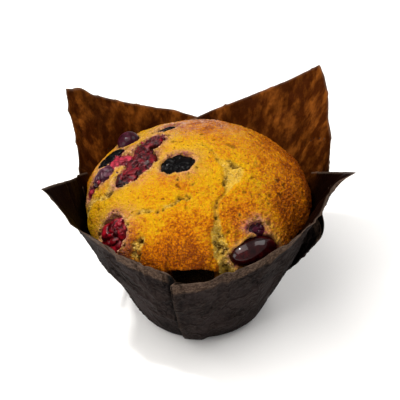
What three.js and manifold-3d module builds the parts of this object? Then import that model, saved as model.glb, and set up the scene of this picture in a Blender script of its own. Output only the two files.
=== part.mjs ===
// A berry muffin in its tulip wrap: a square of baking parchment pressed into a flaring cup, with four free
// corners and a knife pleat at the middle of each side, and a domed muffin baked in it with whole and burst
// berries sunk in the crown. Millimetres, +Z up, origin at the centre of the paper base, front towards -Y.
// Azimuths are in degrees round +Z: 0 is the front, 90 the right side, 180 the back and 270 the left side.
import * as THREE from "three";
import { mergeVertices } from "three/addons/utils/BufferGeometryUtils.js";
import Module from "manifold-3d";

const wasm = await Module();
wasm.setup();

// ---------------------------------------------------------------- driving dimensions
const PAPER = 0.5; // thickness of the paper solid
const CLEARANCE = 0.3; // gap between touching pieces
const SIDE_CLEARANCE = 0.6; // gap between the paper's wall and the muffin
const FLAT_RADIUS = 21.6; // flat round base of the cup
const BASE_SKEW = 1.4; // how far the base is off round
const CONE_RADIUS = 23.5; // radius of the plain cone at the level of the base
const HEEL_RADIUS = 5; // bend between the base and the wall
const WALL_LEAN = 25; // lean of the wall away from the vertical
const WALL_BOW = 1.8; // outward belly of the wall, halfway up
const CROWN_RADIUS = 42; // widest radius of the muffin
const CROWN_LEVEL = 46; // height of the widest ring
const DOME_RISE = 24.5; // dome above the widest ring
const CONTACT_LEVEL = 38; // up to here the muffin fills the paper
const CURL_POWER = 9; // how late on its way up a free corner starts to curl
const FIN_START = 0.12; // share of the wall's height where the outer layer of a pleat leaves the wall
const FIN_LAP = 2.5; // degrees that layer reaches back into its own panel, to be one with it
const FIN_STAND_OFF = 0.3; // how far it lies outside the panel
const COLUMN_STEP = 8.6; // azimuth step of the meshes
const HEEL_ROWS = 3;
const WALL_ROWS = 6;
const SIDE_ROWS = 4;
const DOME_ROWS = 7;
const FIN_COLUMNS = 4;
const BERRY_SEGMENTS = 12;
const BERRY_RINGS = 8;

const deg = THREE.MathUtils.degToRad;
const lerp = THREE.MathUtils.lerp;
const smooth = THREE.MathUtils.smoothstep;

// ---------------------------------------------------------------- hem of the paper
// The hem of each panel runs from a fold up to a free corner and down to the next fold. A straight edge of a
// square rises as the secant of the angle from its middle, and wrap says how far a panel keeps to that law:
// a flat panel has less of it. Offsets are how far the hem stands out from the plain cone at its height, and
// curl is how far a corner bends outwards over the top of its wall.
const corners = {
  frontRight: { azimuth: 69, height: 75.5, offset: -2.2, curl: 4.6 },
  backRight: { azimuth: 131.5, height: 79.6, offset: 0.8, curl: -0.8 },
  backLeft: { azimuth: 236.5, height: 75.5, offset: 1, curl: 0 },
  frontLeft: { azimuth: 294.5, height: 71.5, offset: 0.3, curl: 2 },
};
const hems = {
  frontRightFront: { fold: -11, foldHeight: 49.3, foldOffset: -0.2, midOffset: -4.6, wrap: 1 },
  frontRightSide: { fold: 107, foldHeight: 50.5, foldOffset: -2.4, midOffset: -5, wrap: 0.5 },
  backRightSide: { fold: 70, foldHeight: 43.5, foldOffset: 3, midOffset: -1, wrap: 0.35 },
  backRightBack: { fold: 192, foldHeight: 49.5, foldOffset: -0.6, midOffset: -0.2, wrap: 0.57 },
  backLeftBack: { fold: 172, foldHeight: 49.5, foldOffset: 0.7, midOffset: 0.2, wrap: 0.5 },
  backLeftSide: { fold: 280, foldHeight: 45.5, foldOffset: 0, midOffset: -0.6, wrap: 1.1 },
  frontLeftSide: { fold: 253, foldHeight: 48, foldOffset: -1.6, midOffset: -7, wrap: 0.5 },
  frontLeftFront: { fold: 363, foldHeight: 48, foldOffset: -2.6, midOffset: -4.2, wrap: 1.3 },
};
const panels = {
  frontRight: { corner: corners.frontRight, before: hems.frontRightFront, after: hems.frontRightSide },
  backRight: { corner: corners.backRight, before: hems.backRightSide, after: hems.backRightBack },
  backLeft: { corner: corners.backLeft, before: hems.backLeftBack, after: hems.backLeftSide },
  frontLeft: { corner: corners.frontLeft, before: hems.frontLeftSide, after: hems.frontLeftFront },
};
// Each pleat's root, where the inside of the cup shows it, at the hem and at the base.
const roots = [
  { hem: 4, base: -3 },
  { hem: 108, base: 90 },
  { hem: 193, base: 186 },
  { hem: 252, base: 271 },
  { hem: 364, base: 357 },
];
// Each fin is the outer layer of a pleat: it leaves its panel at the root and lies over the next one.
const fins = {
  front: { panel: "frontRight", root: 4, crease: -11, base: -2.5 },
  right: { panel: "backRight", root: 108, crease: 70, base: 90 },
  back: { panel: "backLeft", root: 193, crease: 172, base: 186 },
  left: { panel: "backLeft", root: 252, crease: 280, base: 270.5 },
};

const heelAngle = deg(90 - WALL_LEAN);
const heelHeight = HEEL_RADIUS * (1 - Math.cos(heelAngle));
const coneRadius = (z) => CONE_RADIUS + z * Math.tan(deg(WALL_LEAN));

// The base is a little off round: it reaches furthest towards the front right.
const flatRadius = (azimuth) => FLAT_RADIUS + BASE_SKEW * Math.cos(deg(azimuth - 25));

// Radius, height, curl and belly of a panel's wall at the hem, at an azimuth.
function hemAt(panel, azimuth) {
  const { corner, before, after } = panels[panel];
  const hem = azimuth < corner.azimuth ? before : after;
  const t = THREE.MathUtils.clamp((azimuth - hem.fold) / (corner.azimuth - hem.fold), 0, 1);
  const secant = (1 / Math.cos(t * Math.PI / 4) - 1) / (Math.SQRT2 - 1);
  const z = lerp(hem.foldHeight, corner.height, lerp(t, secant, hem.wrap));
  const lower = lerp(hem.foldOffset, hem.midOffset, smooth(t, 0, 0.45));
  const offset = lerp(lower, corner.offset, smooth(t, 0.45, 1) ** 2);
  const curl = corner.curl * smooth(t, 0.55, 1);
  return { r: coneRadius(z) + offset, z, curl, belly: WALL_BOW * (1 - smooth(t, 0.3, 0.9)) };
}

// A point of the outer face at a share of the wall's height: the straight line from the heel to the hem, with
// the belly of the filled cup and the curl of the corner added.
function wallAt(hem, azimuth, share) {
  const heel = flatRadius(azimuth) + HEEL_RADIUS * Math.sin(heelAngle);
  const belly = hem.belly * 4 * share * (1 - share);
  const curl = hem.curl * (share ** CURL_POWER - share);
  return { r: lerp(heel, hem.r, share) + belly + curl, z: lerp(heelHeight, hem.z, share) };
}

// Azimuth of a column at a share of the wall's height: columns lean between the pleats' roots.
function leaning(azimuth, share) {
  const i = roots.findIndex((root, k) => k > 0 && azimuth <= root.hem);
  const [a, b] = [roots[i - 1], roots[i]];
  const t = (azimuth - a.hem) / (b.hem - a.hem);
  return lerp(lerp(a.base, b.base, t), azimuth, share);
}

// ---------------------------------------------------------------- meshes
const at = (azimuth, r, z) => [r * Math.sin(deg(azimuth)), -r * Math.cos(deg(azimuth)), z];

// Joins rings of points, first and last rings being single points, into one closed solid.
function closedRings(rings) {
  const positions = rings.flat(2);
  const starts = [0];
  rings.forEach((ring) => starts.push(starts.at(-1) + ring.length));
  const index = [];
  for (let k = 0; k + 1 < rings.length; k++) {
    const [low, high] = [rings[k], rings[k + 1]];
    const n = Math.max(low.length, high.length);
    for (let i = 0; i < n; i++) {
      const j = (i + 1) % n;
      const [a, b] = [starts[k] + (i % low.length), starts[k] + (j % low.length)];
      const [c, d] = [starts[k + 1] + (i % high.length), starts[k + 1] + (j % high.length)];
      if (low.length > 1) index.push(a, b, d);
      if (high.length > 1) index.push(a, d, c);
    }
  }
  const geometry = new THREE.BufferGeometry();
  geometry.setAttribute("position", new THREE.Float32BufferAttribute(positions, 3));
  geometry.setIndex(index);
  return geometry;
}

// Turns a closed geometry into a solid for the boolean cuts.
function solidOf(geometry) {
  const bare = geometry.clone();
  bare.deleteAttribute("normal");
  bare.deleteAttribute("uv");
  const merged = mergeVertices(bare, 1e-4);
  const mesh = new wasm.Mesh({
    numProp: 3,
    vertProperties: new Float32Array(merged.attributes.position.array),
    triVerts: new Uint32Array(merged.index.array),
  });
  return new wasm.Manifold(mesh);
}

function geometryOf(solid) {
  const { numProp, numVert, vertProperties, triVerts } = solid.getMesh();
  const positions = new Float32Array(numVert * 3);
  for (let i = 0; i < numVert; i++) {
    positions.set(vertProperties.subarray(i * numProp, i * numProp + 3), i * 3);
  }
  const geometry = new THREE.BufferGeometry();
  geometry.setAttribute("position", new THREE.BufferAttribute(positions, 3));
  geometry.setIndex(new THREE.BufferAttribute(new Uint32Array(triVerts), 1));
  geometry.computeVertexNormals();
  return geometry;
}

// ---------------------------------------------------------------- paper wrap
// The columns of the cup, with the panel that shows on the inside at each, and a close pair at each root.
function cupColumns() {
  const order = ["frontRight", "backRight", "backLeft", "frontLeft"];
  const columns = [];
  order.forEach((panel, k) => {
    const [from, to] = [roots[k].hem + 1, roots[k + 1].hem - 1];
    const corner = corners[panel].azimuth;
    for (const [low, high] of [[from, corner], [corner, to]]) {
      const steps = Math.ceil((high - low) / COLUMN_STEP);
      const last = high === to ? steps + 1 : steps;
      for (let i = 0; i < last; i++) columns.push({ panel, azimuth: lerp(low, high, i / steps) });
    }
  });
  return columns;
}

// Outer profile of the cup at a column, from the base centre to the hem, as azimuth, radius and height.
function cupProfile({ panel, azimuth }) {
  const base = leaning(azimuth, 0);
  const rows = [{ azimuth: base, r: 0, z: 0 }];
  for (let i = 0; i <= HEEL_ROWS; i++) {
    const turn = heelAngle * i / HEEL_ROWS;
    rows.push({
      azimuth: base,
      r: flatRadius(base) + HEEL_RADIUS * Math.sin(turn),
      z: HEEL_RADIUS * (1 - Math.cos(turn)),
    });
  }
  const hem = hemAt(panel, azimuth);
  for (let i = 1; i <= WALL_ROWS; i++) {
    const share = i / WALL_ROWS;
    rows.push({ azimuth: leaning(azimuth, share), ...wallAt(hem, base, share) });
  }
  return rows;
}

// The same profile moved inwards, square to itself in the plane of its azimuth.
function insetProfile(rows, inset) {
  return rows.map((row, i) => {
    const [a, b] = [rows[Math.max(i - 1, 0)], rows[Math.min(i + 1, rows.length - 1)]];
    const length = Math.hypot(b.r - a.r, b.z - a.z);
    const [along, up] = [(b.r - a.r) / length, (b.z - a.z) / length];
    return { azimuth: row.azimuth, r: Math.max(row.r - up * inset, 0), z: row.z + along * inset };
  });
}

const columns = cupColumns();
const outerProfiles = columns.map(cupProfile);
const innerProfiles = outerProfiles.map((rows) => insetProfile(rows, PAPER));

function ring(profiles, row) {
  return profiles.map((rows) => at(rows[row].azimuth, rows[row].r, rows[row].z));
}

function cupSolid() {
  const count = outerProfiles[0].length;
  const rings = [[at(0, 0, 0)]];
  for (let row = 1; row < count; row++) rings.push(ring(outerProfiles, row));
  for (let row = count - 1; row > 0; row--) rings.push(ring(innerProfiles, row));
  rings.push([at(0, 0, PAPER)]);
  return solidOf(closedRings(rings));
}

// A fin is a thin plate between its root and its crease, lying on the ruled wall of its own panel.
function finSolid({ panel, root, crease, base }) {
  const sections = [];
  const start = root + FIN_LAP * Math.sign(root - crease);
  for (let row = 0; row <= WALL_ROWS; row++) {
    const share = lerp(FIN_START, 1, row / WALL_ROWS);
    const [outer, inner] = [[], []];
    for (let i = 0; i <= FIN_COLUMNS; i++) {
      const hemAzimuth = lerp(start, crease, i / FIN_COLUMNS);
      const point = wallAt(hemAt(panel, hemAzimuth), base, share);
      const azimuth = lerp(base, hemAzimuth, share);
      outer.push(at(azimuth, point.r + FIN_STAND_OFF, point.z));
      inner.push(at(azimuth, point.r - PAPER, point.z));
    }
    sections.push([...outer, ...inner.reverse()]);
  }
  if (crease < root) sections.forEach((section) => section.reverse());
  const mean = (section, k) => section.reduce((sum, p) => sum + p[k], 0) / section.length;
  const middle = (section) => [0, 1, 2].map((k) => mean(section, k));
  return solidOf(closedRings([[middle(sections[0])], ...sections, [middle(sections.at(-1))]]));
}

function paperWrap() {
  let solid = cupSolid();
  for (const fin of Object.values(fins)) {
    const plate = finSolid(fin);
    if (plate.volume() < 0) throw new Error("a fin is inside out");
    solid = solid.add(plate);
  }
  return solid;
}

// ---------------------------------------------------------------- berries
// Each berry's centre is given in plan, right of and behind the cup's axis, and sits below the crown by sink.
// Its half lengths lie along its own long axis, across it and up; turn spins it about the upright, and
// hollow is the depth of the dimple left where its skin burst.
const berries = {
  berry_round: { x: -26.8, y: 18.2, sink: 0.4, half: [4.3, 4.3, 4.2], turn: 0, hollow: 0 },
  berry_slot: { x: -7.2, y: -8.6, sink: 2.9, half: [6.6, 4.6, 3.6], turn: 8, hollow: 0 },
  berry_slit: { x: -11.6, y: 19.4, sink: 2.2, half: [4.2, 2.6, 2.4], turn: 25, hollow: 0 },
  berry_cluster_top: { x: -18.4, y: 7, sink: 2.1, half: [6.4, 5, 3.4], turn: 40, hollow: 0.8 },
  berry_cluster_mid: { x: -20.6, y: -2.8, sink: 2.2, half: [6.8, 5.6, 3.6], turn: 75, hollow: 1 },
  berry_cluster_low: { x: -25.4, y: -8.2, sink: 2.4, half: [5.2, 4, 3], turn: 20, hollow: 0.5 },
  berry_dark: { x: -31.2, y: 8.8, sink: 1.9, half: [5.4, 3, 3], turn: 8, hollow: 0.4 },
  berry_flesh: { x: -29, y: 2.8, sink: 2, half: [5.2, 3, 2.8], turn: 8, hollow: 0.6 },
  berry_purple: { x: -35.2, y: -0.6, sink: 2, half: [4.8, 3.6, 3.2], turn: 30, hollow: 0 },
  berry_edge: { x: -39.4, y: -4.4, sink: 1.8, half: [2.8, 2.6, 2.2], turn: 0, hollow: 0.3 },
  berry_burst: { x: -30, y: -26.8, sink: 3, half: [6.8, 5, 4.4], turn: 30, hollow: 1.2 },
  berry_oval: { x: 19.6, y: -35.3, sink: 3.2, half: [8.8, 5.4, 5], turn: 26, hollow: 0 },
  berry_small: { x: 20, y: -29.6, sink: 2.2, half: [3.2, 2.8, 2.6], turn: 20, hollow: 0.4 },
};

// ---------------------------------------------------------------- muffin
// Height above the widest ring, as a share of the dome's rise, at a share of its radius.
const domeLevel = (share) => CROWN_LEVEL + DOME_RISE * Math.sqrt(Math.max(1 - share * share, 0));

// Low swellings of the crown, between which the batter split as it rose.
const swellings = [
  { x: 16, y: 4, reach: 15, rise: 1.1 },
  { x: -3, y: -33, reach: 10, rise: 1.3 },
  { x: -22, y: -19, reach: 9, rise: 0.7 },
  { x: 17, y: -23, reach: 8, rise: 0.6 },
  { x: -6, y: 6, reach: 9, rise: 0.7 },
  { x: 8, y: -18, reach: 7, rise: -1 },
  { x: 9, y: -37, reach: 5, rise: -1.4 },
  { x: -24, y: 1, reach: 10, rise: -1.1 },
];
function swelling(x, y) {
  return swellings.reduce(
    (sum, s) => sum + s.rise * Math.exp(-((x - s.x) ** 2 + (y - s.y) ** 2) / s.reach ** 2), 0);
}

// One column of the muffin's skin: bottom, side against the paper, rounded rim and dome.
function muffinProfile(inner) {
  const side = insetProfile(inner, SIDE_CLEARANCE);
  side[1].z = inner[1].z + CLEARANCE;
  const rows = side.slice(0, HEEL_ROWS + 2);
  const wall = side.slice(HEEL_ROWS + 1);
  const last = wall.at(-1);
  const sideRadius = (z) => {
    const k = Math.max(wall.findIndex((row) => row.z >= z), 1);
    const [a, b] = [wall[k - 1], wall[k]];
    const t = (z - a.z) / (b.z - a.z);
    return { azimuth: lerp(a.azimuth, b.azimuth, t), r: lerp(a.r, b.r, t) };
  };
  const plain = (z) => coneRadius(z) - PAPER - 2 * CLEARANCE;
  for (let i = 1; i <= SIDE_ROWS; i++) {
    const z = lerp(rows[HEEL_ROWS + 1].z, CONTACT_LEVEL, i / SIDE_ROWS);
    const { azimuth, r } = sideRadius(z);
    rows.push({ azimuth, r: Math.min(r, plain(z)), z });
  }
  const rim = sideRadius(Math.min(CROWN_LEVEL, last.z));
  const widest = Math.min(CROWN_RADIUS, rim.r);
  const foot = rows.at(-1);
  const azimuth = foot.azimuth;
  rows.push({ azimuth, r: lerp(foot.r, widest, 0.6), z: lerp(foot.z, CROWN_LEVEL, 0.5) });
  for (let i = 0; i < DOME_ROWS; i++) {
    const share = Math.cos((i / DOME_ROWS) * (Math.PI / 2));
    const [x, y] = at(azimuth, widest * share, 0);
    const lift = swelling(x, y) * smooth(i / DOME_ROWS, 0, 0.3);
    rows.push({ azimuth, r: widest * share, z: domeLevel(share) + lift });
  }
  return rows;
}

function muffinSolid() {
  const loose = innerProfiles.map(muffinProfile);
  const profiles = loose.map((rows, i) => {
    const neighbours = [loose.at(i - 1), loose[(i + 1) % loose.length]];
    return rows.map((row, k) => ({ ...row, r: Math.min(row.r, ...neighbours.map((side) => side[k].r)) }));
  });
  const rings = [[at(0, 0, PAPER + CLEARANCE)]];
  for (let row = 1; row < profiles[0].length; row++) rings.push(ring(profiles, row));
  rings.push([at(0, 0, CROWN_LEVEL + DOME_RISE + swelling(0, 0))]);
  return solidOf(closedRings(rings));
}

// ---------------------------------------------------------------- berry solids
// A berry of a given growth: its ellipsoid with the burst dimple, laid square to the crown at its place.
function berrySolid({ x, y, sink, half, turn, hollow }, growth) {
  const geometry = new THREE.SphereGeometry(1, BERRY_SEGMENTS, BERRY_RINGS);
  geometry.rotateX(Math.PI / 2);
  const p = geometry.attributes.position;
  for (let i = 0; i < p.count; i++) {
    const [px, py, pz] = [p.getX(i), p.getY(i), p.getZ(i)];
    const dent = hollow * Math.max(pz, 0) ** 6;
    p.setXYZ(i, px * (half[0] + growth), py * (half[1] + growth), pz * (half[2] + growth) - dent);
  }
  const share = Math.min(Math.hypot(x, y) / CROWN_RADIUS, 0.97);
  const z = domeLevel(share);
  const slope = [x / CROWN_RADIUS ** 2, y / CROWN_RADIUS ** 2, (z - CROWN_LEVEL) / DOME_RISE ** 2];
  const normal = new THREE.Vector3(...slope).normalize();
  const centre = new THREE.Vector3(x, y, z + swelling(x, y)).addScaledVector(normal, -sink);
  const spin = new THREE.Quaternion().setFromAxisAngle(new THREE.Vector3(0, 0, 1), deg(turn));
  const tip = new THREE.Quaternion().setFromUnitVectors(new THREE.Vector3(0, 0, 1), normal);
  geometry.applyQuaternion(tip.multiply(spin));
  geometry.translate(centre.x, centre.y, centre.z);
  return solidOf(geometry);
}

// ---------------------------------------------------------------- the muffin, assembled
const group = new THREE.Group();
group.name = "berry_muffin";

function addNode(name, solid, colour, roughness) {
  const material = new THREE.MeshStandardMaterial({ color: colour, roughness, metalness: 0 });
  const mesh = new THREE.Mesh(geometryOf(solid), material);
  mesh.name = name;
  group.add(mesh);
}

let muffin = muffinSolid();
let eaten = null; // what earlier berries take up, so that neighbours in the cluster don't overlap
for (const [name, berry] of Object.entries(berries)) {
  const grown = berrySolid(berry, CLEARANCE);
  let solid = berrySolid(berry, 0);
  if (eaten) solid = solid.subtract(eaten);
  eaten = eaten ? eaten.add(grown) : grown;
  muffin = muffin.subtract(grown);
  const burst = berry.hollow > 0;
  addNode(name, solid, burst ? 0x6b1226 : 0x24101c, 0.3);
}
addNode("muffin_body", muffin, 0xd98a1c, 0.85);
addNode("paper_case", paperWrap(), 0x4a3a30, 0.8);

export default group;
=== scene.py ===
import math

import bpy
import numpy as np
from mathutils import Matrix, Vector


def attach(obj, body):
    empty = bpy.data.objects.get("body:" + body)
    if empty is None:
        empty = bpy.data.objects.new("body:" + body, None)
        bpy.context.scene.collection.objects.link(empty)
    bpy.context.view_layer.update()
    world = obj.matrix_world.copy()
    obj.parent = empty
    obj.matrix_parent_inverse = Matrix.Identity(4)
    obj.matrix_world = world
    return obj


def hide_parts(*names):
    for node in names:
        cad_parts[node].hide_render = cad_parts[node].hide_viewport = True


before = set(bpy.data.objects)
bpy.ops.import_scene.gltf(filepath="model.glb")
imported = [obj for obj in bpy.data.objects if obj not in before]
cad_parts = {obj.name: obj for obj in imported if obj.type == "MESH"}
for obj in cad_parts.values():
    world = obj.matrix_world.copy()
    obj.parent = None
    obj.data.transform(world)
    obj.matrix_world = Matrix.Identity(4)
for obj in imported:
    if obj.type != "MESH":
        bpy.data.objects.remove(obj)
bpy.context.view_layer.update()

# ------------ table, light and camera
# A white table top that runs on past the light, a broad soft box high on the left with a small bright one
# beside it, others low on the left and high on the right, and a lens that looks half down from the front.

table_paint = bpy.data.materials.new("white_table_top")
table_paint.use_nodes = True
paint = table_paint.node_tree.nodes["Principled BSDF"]
paint.inputs["Base Color"].default_value = (0.93, 0.925, 0.92, 1)
paint.inputs["Roughness"].default_value = 0.6
TABLE_REACH = 3.0  # metres, from the middle to each side
table_corners = [(x * TABLE_REACH, y * TABLE_REACH, 0) for x, y in ((-1, -1), (1, -1), (1, 1), (-1, 1))]
top = bpy.data.meshes.new("table_top")
top.from_pydata(table_corners, [], [(0, 1, 2, 3)])
top.materials.append(table_paint)
table_top = bpy.data.objects.new("table_top", top)
bpy.context.scene.collection.objects.link(table_top)

room = bpy.data.worlds.new("pale_room")
room.use_nodes = True
room.node_tree.nodes["Background"].inputs["Color"].default_value = (1.0, 0.985, 0.965, 1)
room.node_tree.nodes["Background"].inputs["Strength"].default_value = 0.5
bpy.context.scene.world = room
bpy.context.scene.view_settings.view_transform = "Standard"

LIT_POINT = Vector((0, 0, 0.05))  # metres, the middle of the muffin under its crown


def soft_box(name, place, power, width, tint):
    """A square light, its place and width in metres, its power in watts, turned to face the muffin."""
    lamp = bpy.data.lights.new(name, "AREA")
    lamp.energy = power
    lamp.size = width
    lamp.color = tint
    holder = bpy.data.objects.new(name, lamp)
    holder.location = place
    aim = LIT_POINT - Vector(place)
    holder.rotation_euler = aim.to_track_quat("-Z", "Y").to_euler()
    bpy.context.scene.collection.objects.link(holder)


soft_box("window_box", (-0.21, -0.09, 0.66), 4.6, 0.62, (1.0, 0.975, 0.94))
soft_box("low_box", (-0.44, -0.26, 0.20), 1.1, 0.28, (1.0, 0.98, 0.96))
soft_box("spark_box", (-0.24, 0.02, 0.60), 2.2, 0.036, (1.0, 0.98, 0.95))
soft_box("crown_box", (0.36, 0.14, 0.52), 1.3, 0.3, (1.0, 0.99, 0.98))

LOOK_DOWN = math.radians(41)
LENS_DISTANCE = 0.350  # metres
MEASURED_FROM = Vector((0, 0, 0.030))  # metres, the muffin's middle
SEEN_POINT = Vector((0.0005, 0.0090, 0.0403))  # metres, what lies in the middle of the view
lens = bpy.data.cameras.new("lens")
lens.lens = 81.9
lens.sensor_width = 36
lens.clip_start = 0.01
stand = bpy.data.objects.new("lens", lens)
towards_lens = Vector((0, -math.cos(LOOK_DOWN), math.sin(LOOK_DOWN)))
stand.location = MEASURED_FROM + LENS_DISTANCE * towards_lens
look = SEEN_POINT - stand.location
stand.rotation_euler = look.to_track_quat("-Z", "Y").to_euler()
bpy.context.scene.collection.objects.link(stand)
bpy.context.scene.camera = stand


# ------------ parchment wrap
# One square of dark brown greaseproof parchment pressed into a tin: a flat round base, a tight bend at the
# heel, a flaring wall whose slack is folded into four knife pleats, and four free corners. Butter has soaked
# through it, and only a narrow band along the hem has stayed dry. That band is drawn wider and stronger at
# the right of the front-right panel as painted light.

CONE = 23.5  # mm, radius of the plain cone at the table
LEAN = math.tan(math.radians(25))
FLAT = 21.6  # mm, radius of the flat base
BEND = 5.0  # mm, radius of the bend at the heel
BELLY = 1.8  # mm, how far the filled wall bellies out
SHEET = 0.22  # mm, thickness shown
LAYER = 0.65  # mm, spacing of the layers in a pleat
AJAR = 1.0  # mm, how far the fold at the front stands open
DENT_LIMIT = 0.15  # mm, how far a dent goes in where the muffin lies behind it
MUFFIN_END = 57  # mm, height above which nothing lies behind the wall
HEEL_TURN = math.radians(65)
HEEL_TOP = BEND * (1 - math.cos(HEEL_TURN))

# Each panel's free corner: azimuth, height, stand-out from the cone, outward curl. Then its hem before and
# after the corner: azimuth of the fold, height and stand-out there, stand-out midway, and how fully it bows.
PANELS = {
    "front_right": ((69, 75.5, -2.2, 4.6), (-11, 50.2, -0.4, -4.6, 1.2), (107, 50.5, -2.4, -5.0, 0.15)),
    "back_right": ((131.5, 81.2, 0.9, -0.8), (70, 43.5, 1.6, -2.4, 0.35), (192, 49.5, -0.6, -0.2, 0.57)),
    "back_left": ((236.5, 75.5, 1.0, 0.0), (172, 49.5, 0.7, 0.2, 0.5), (280, 45.5, -1.0, -3.2, 1.1)),
    "front_left": ((294.5, 71.5, 0.3, 2.0), (253, 50.5, -1.6, -6.0, 0.2), (363, 50.8, -2.6, -3.6, 1.3)),
}


def ease(t):
    """The smooth step: 0 below 0, 1 above 1, and 3t^2 - 2t^3 between."""
    t = np.clip(t, 0, 1)
    return t * t * (3 - 2 * t)


def blend(a, b, t):
    """The straight mix of a and b: a where t is 0, b where it is 1."""
    return a + (b - a) * t


def bell(t):
    """The bell curve: 1 at 0, falling on both sides as e to the power of minus t squared."""
    return np.exp(-(t**2))


def hem_of(panel, azimuth):
    """Radius, height, curl and belly of a panel's hem at each azimuth. It rises from its fold between a
    straight line and the secant that a straight edge of the square makes, scaled to end at the corner's
    height. Bells and smooth steps add what is particular to one corner. A grid comes back transposed."""
    corner, before, after = PANELS[panel]
    fold, low, foot, middle, bow = np.where((azimuth < corner[0])[..., None], before, after).T
    t = np.clip((azimuth.T - fold) / (corner[0] - fold), 0, 1)
    secant = (1 / np.cos(t * np.pi / 4) - 1) / (math.sqrt(2) - 1)
    height = blend(low, corner[1], blend(t, secant, bow))
    if panel == "back_left":  # this corner was caught and blunted
        height = np.minimum(height + 1.8 * bell((azimuth.T - 231) / 2.6), 76.4)
    if panel == "front_left":  # its end dips under the front fold
        height = height - 7 * ease((azimuth.T - 347.5) / 3.5)
    lower = blend(foot, middle, ease(t / 0.45))
    out = blend(lower, corner[2], ease((t - 0.45) / 0.55) ** 2)
    curl = corner[3] * ease((t - 0.55) / 0.45)
    if panel == "front_right":  # a thin beak: only the very tip of this corner flares
        out = out - 2.2 * bell((azimuth.T - 61) / 5)
        slack = 3.6 * bell((azimuth.T - 66.5) / 6) - 2.7 * bell((azimuth.T - 69) / 2.5)
        out, curl = out - slack, curl - slack
    if panel == "back_right":  # pressed back against the layers under it
        out = out - 2.7 * bell((azimuth.T - 82) / 6)
    radius = CONE + height * LEAN + out
    return np.stack([radius, height, curl, BELLY * (1 - ease((t - 0.3) / 0.6))])


def flat_radius(azimuth):
    """The base is a little off round: its radius swells as the cosine of the angle from the front right."""
    return FLAT + 1.4 * np.cos(np.radians(azimuth - 25))


def wall_at(hem, azimuth, share):
    """Radius and height of the wall at a share of its length: a straight line from the heel to the hem, with
    a parabola added for the belly and a sixteenth power for the curl of a corner."""
    heel = flat_radius(azimuth) + BEND * math.sin(HEEL_TURN)
    radius = blend(heel, hem[0], share) + hem[3] * 4 * share * (1 - share) + hem[2] * (share**16 - share)
    return radius, blend(HEEL_TOP, hem[1], share)


def lattice(points, size, seed):
    """A smooth random field from -1 to 1: a number on each corner of a grid of cubes of that size, scrambled
    from the corner's three counts and the seed by large odd factors, and mixed between corners with the
    fifth-order fade. The grid is turned so it never lines up with the axes."""
    turn = np.array([[0.36, 0.48, -0.8], [-0.8, 0.6, 0.0], [0.48, 0.64, 0.6]])
    p = points @ turn.T / size + 17.3 * seed
    cell = np.floor(p).astype(np.int64)
    f = p - cell
    fade = f * f * f * (f * (6 * f - 15) + 10)
    total = np.zeros(points.shape[:-1])
    for corner in range(8):
        step = np.array([corner & 1, corner >> 1 & 1, corner >> 2 & 1])
        c = cell + step
        h = (c[..., 0] * 73856093) ^ (c[..., 1] * 19349663) ^ (c[..., 2] * 83492791) ^ (seed * 2654435761)
        h = (h ^ (h >> 13)) * 1274126177 & 0x7FFFFFFF
        h = (h ^ (h >> 15)) * 2246822519 & 0x7FFFFFFF
        weight = np.prod(np.where(step, fade, 1 - fade), axis=-1)
        total += weight * (h / 0x7FFFFFFF * 2 - 1)
    return total


def rounds(azimuth, radius, height):
    """Points in millimetres from azimuth in degrees, radius and height: 0 is the front, 90 the right side."""
    a = np.radians(azimuth)
    return np.stack(np.broadcast_arrays(radius * np.sin(a), -radius * np.cos(a), height), axis=-1)


def bearing(x, y):
    """Azimuth in degrees of a place in plan: 0 is the front, 90 the right side."""
    return np.degrees(np.arctan2(x, -y))


def put_mesh(name, points, faces, marks, material):
    """A smooth mesh object from points in millimetres and lists of faces, with one number per point kept
    under each mark's name for the material to read."""
    mesh = bpy.data.meshes.new(name)
    mesh.from_pydata((points / 1000).tolist(), [], [f for group in faces for f in group.tolist()])
    mesh.polygons.foreach_set("use_smooth", np.ones(len(mesh.polygons), bool))
    for mark, values in marks.items():
        kept = mesh.attributes.new(mark, "FLOAT", "POINT")
        kept.data.foreach_set("value", values.astype(np.float32).ravel())
    mesh.materials.append(material)
    piece = bpy.data.objects.new(name, mesh)
    bpy.context.scene.collection.objects.link(piece)
    return piece


# The legs of the sheet, in order round the cup: a panel, then the doubled-back leg of the pleat after it.
# Each has its first and last azimuth at the hem, its layer, counted outwards, at both ends, and its first and
# last azimuth at the base, where the doubled-back legs are narrow: the pleats open as the wall rises.
LEGS = [
    ("front_right", -11, 107, 2, 0, -11, 89), (None, 107, 70, 0, 2, 89, 90.5),
    ("back_right", 70, 192, 2, 0, 90.5, 185), (None, 192, 172, 0, 2, 185, 186.5),
    ("back_left", 172, 280, 2, 2, 186.5, 270), (None, 280, 253, 2, 0, 270, 271.5),
    ("front_left", 253, 363, 0, 0, 271.5, 347.5), (None, 363, 349, 0, 2, 347.5, 349),
]
LAP = {-11: 14, 70: 37, 172: 20, 280: 27}  # degrees that an outer layer overlaps, by the azimuth of its fold
PANEL_STEP, TUCK_STEP = 0.95, 1.4  # degrees between columns, along a panel and along a doubled-back leg


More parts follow.
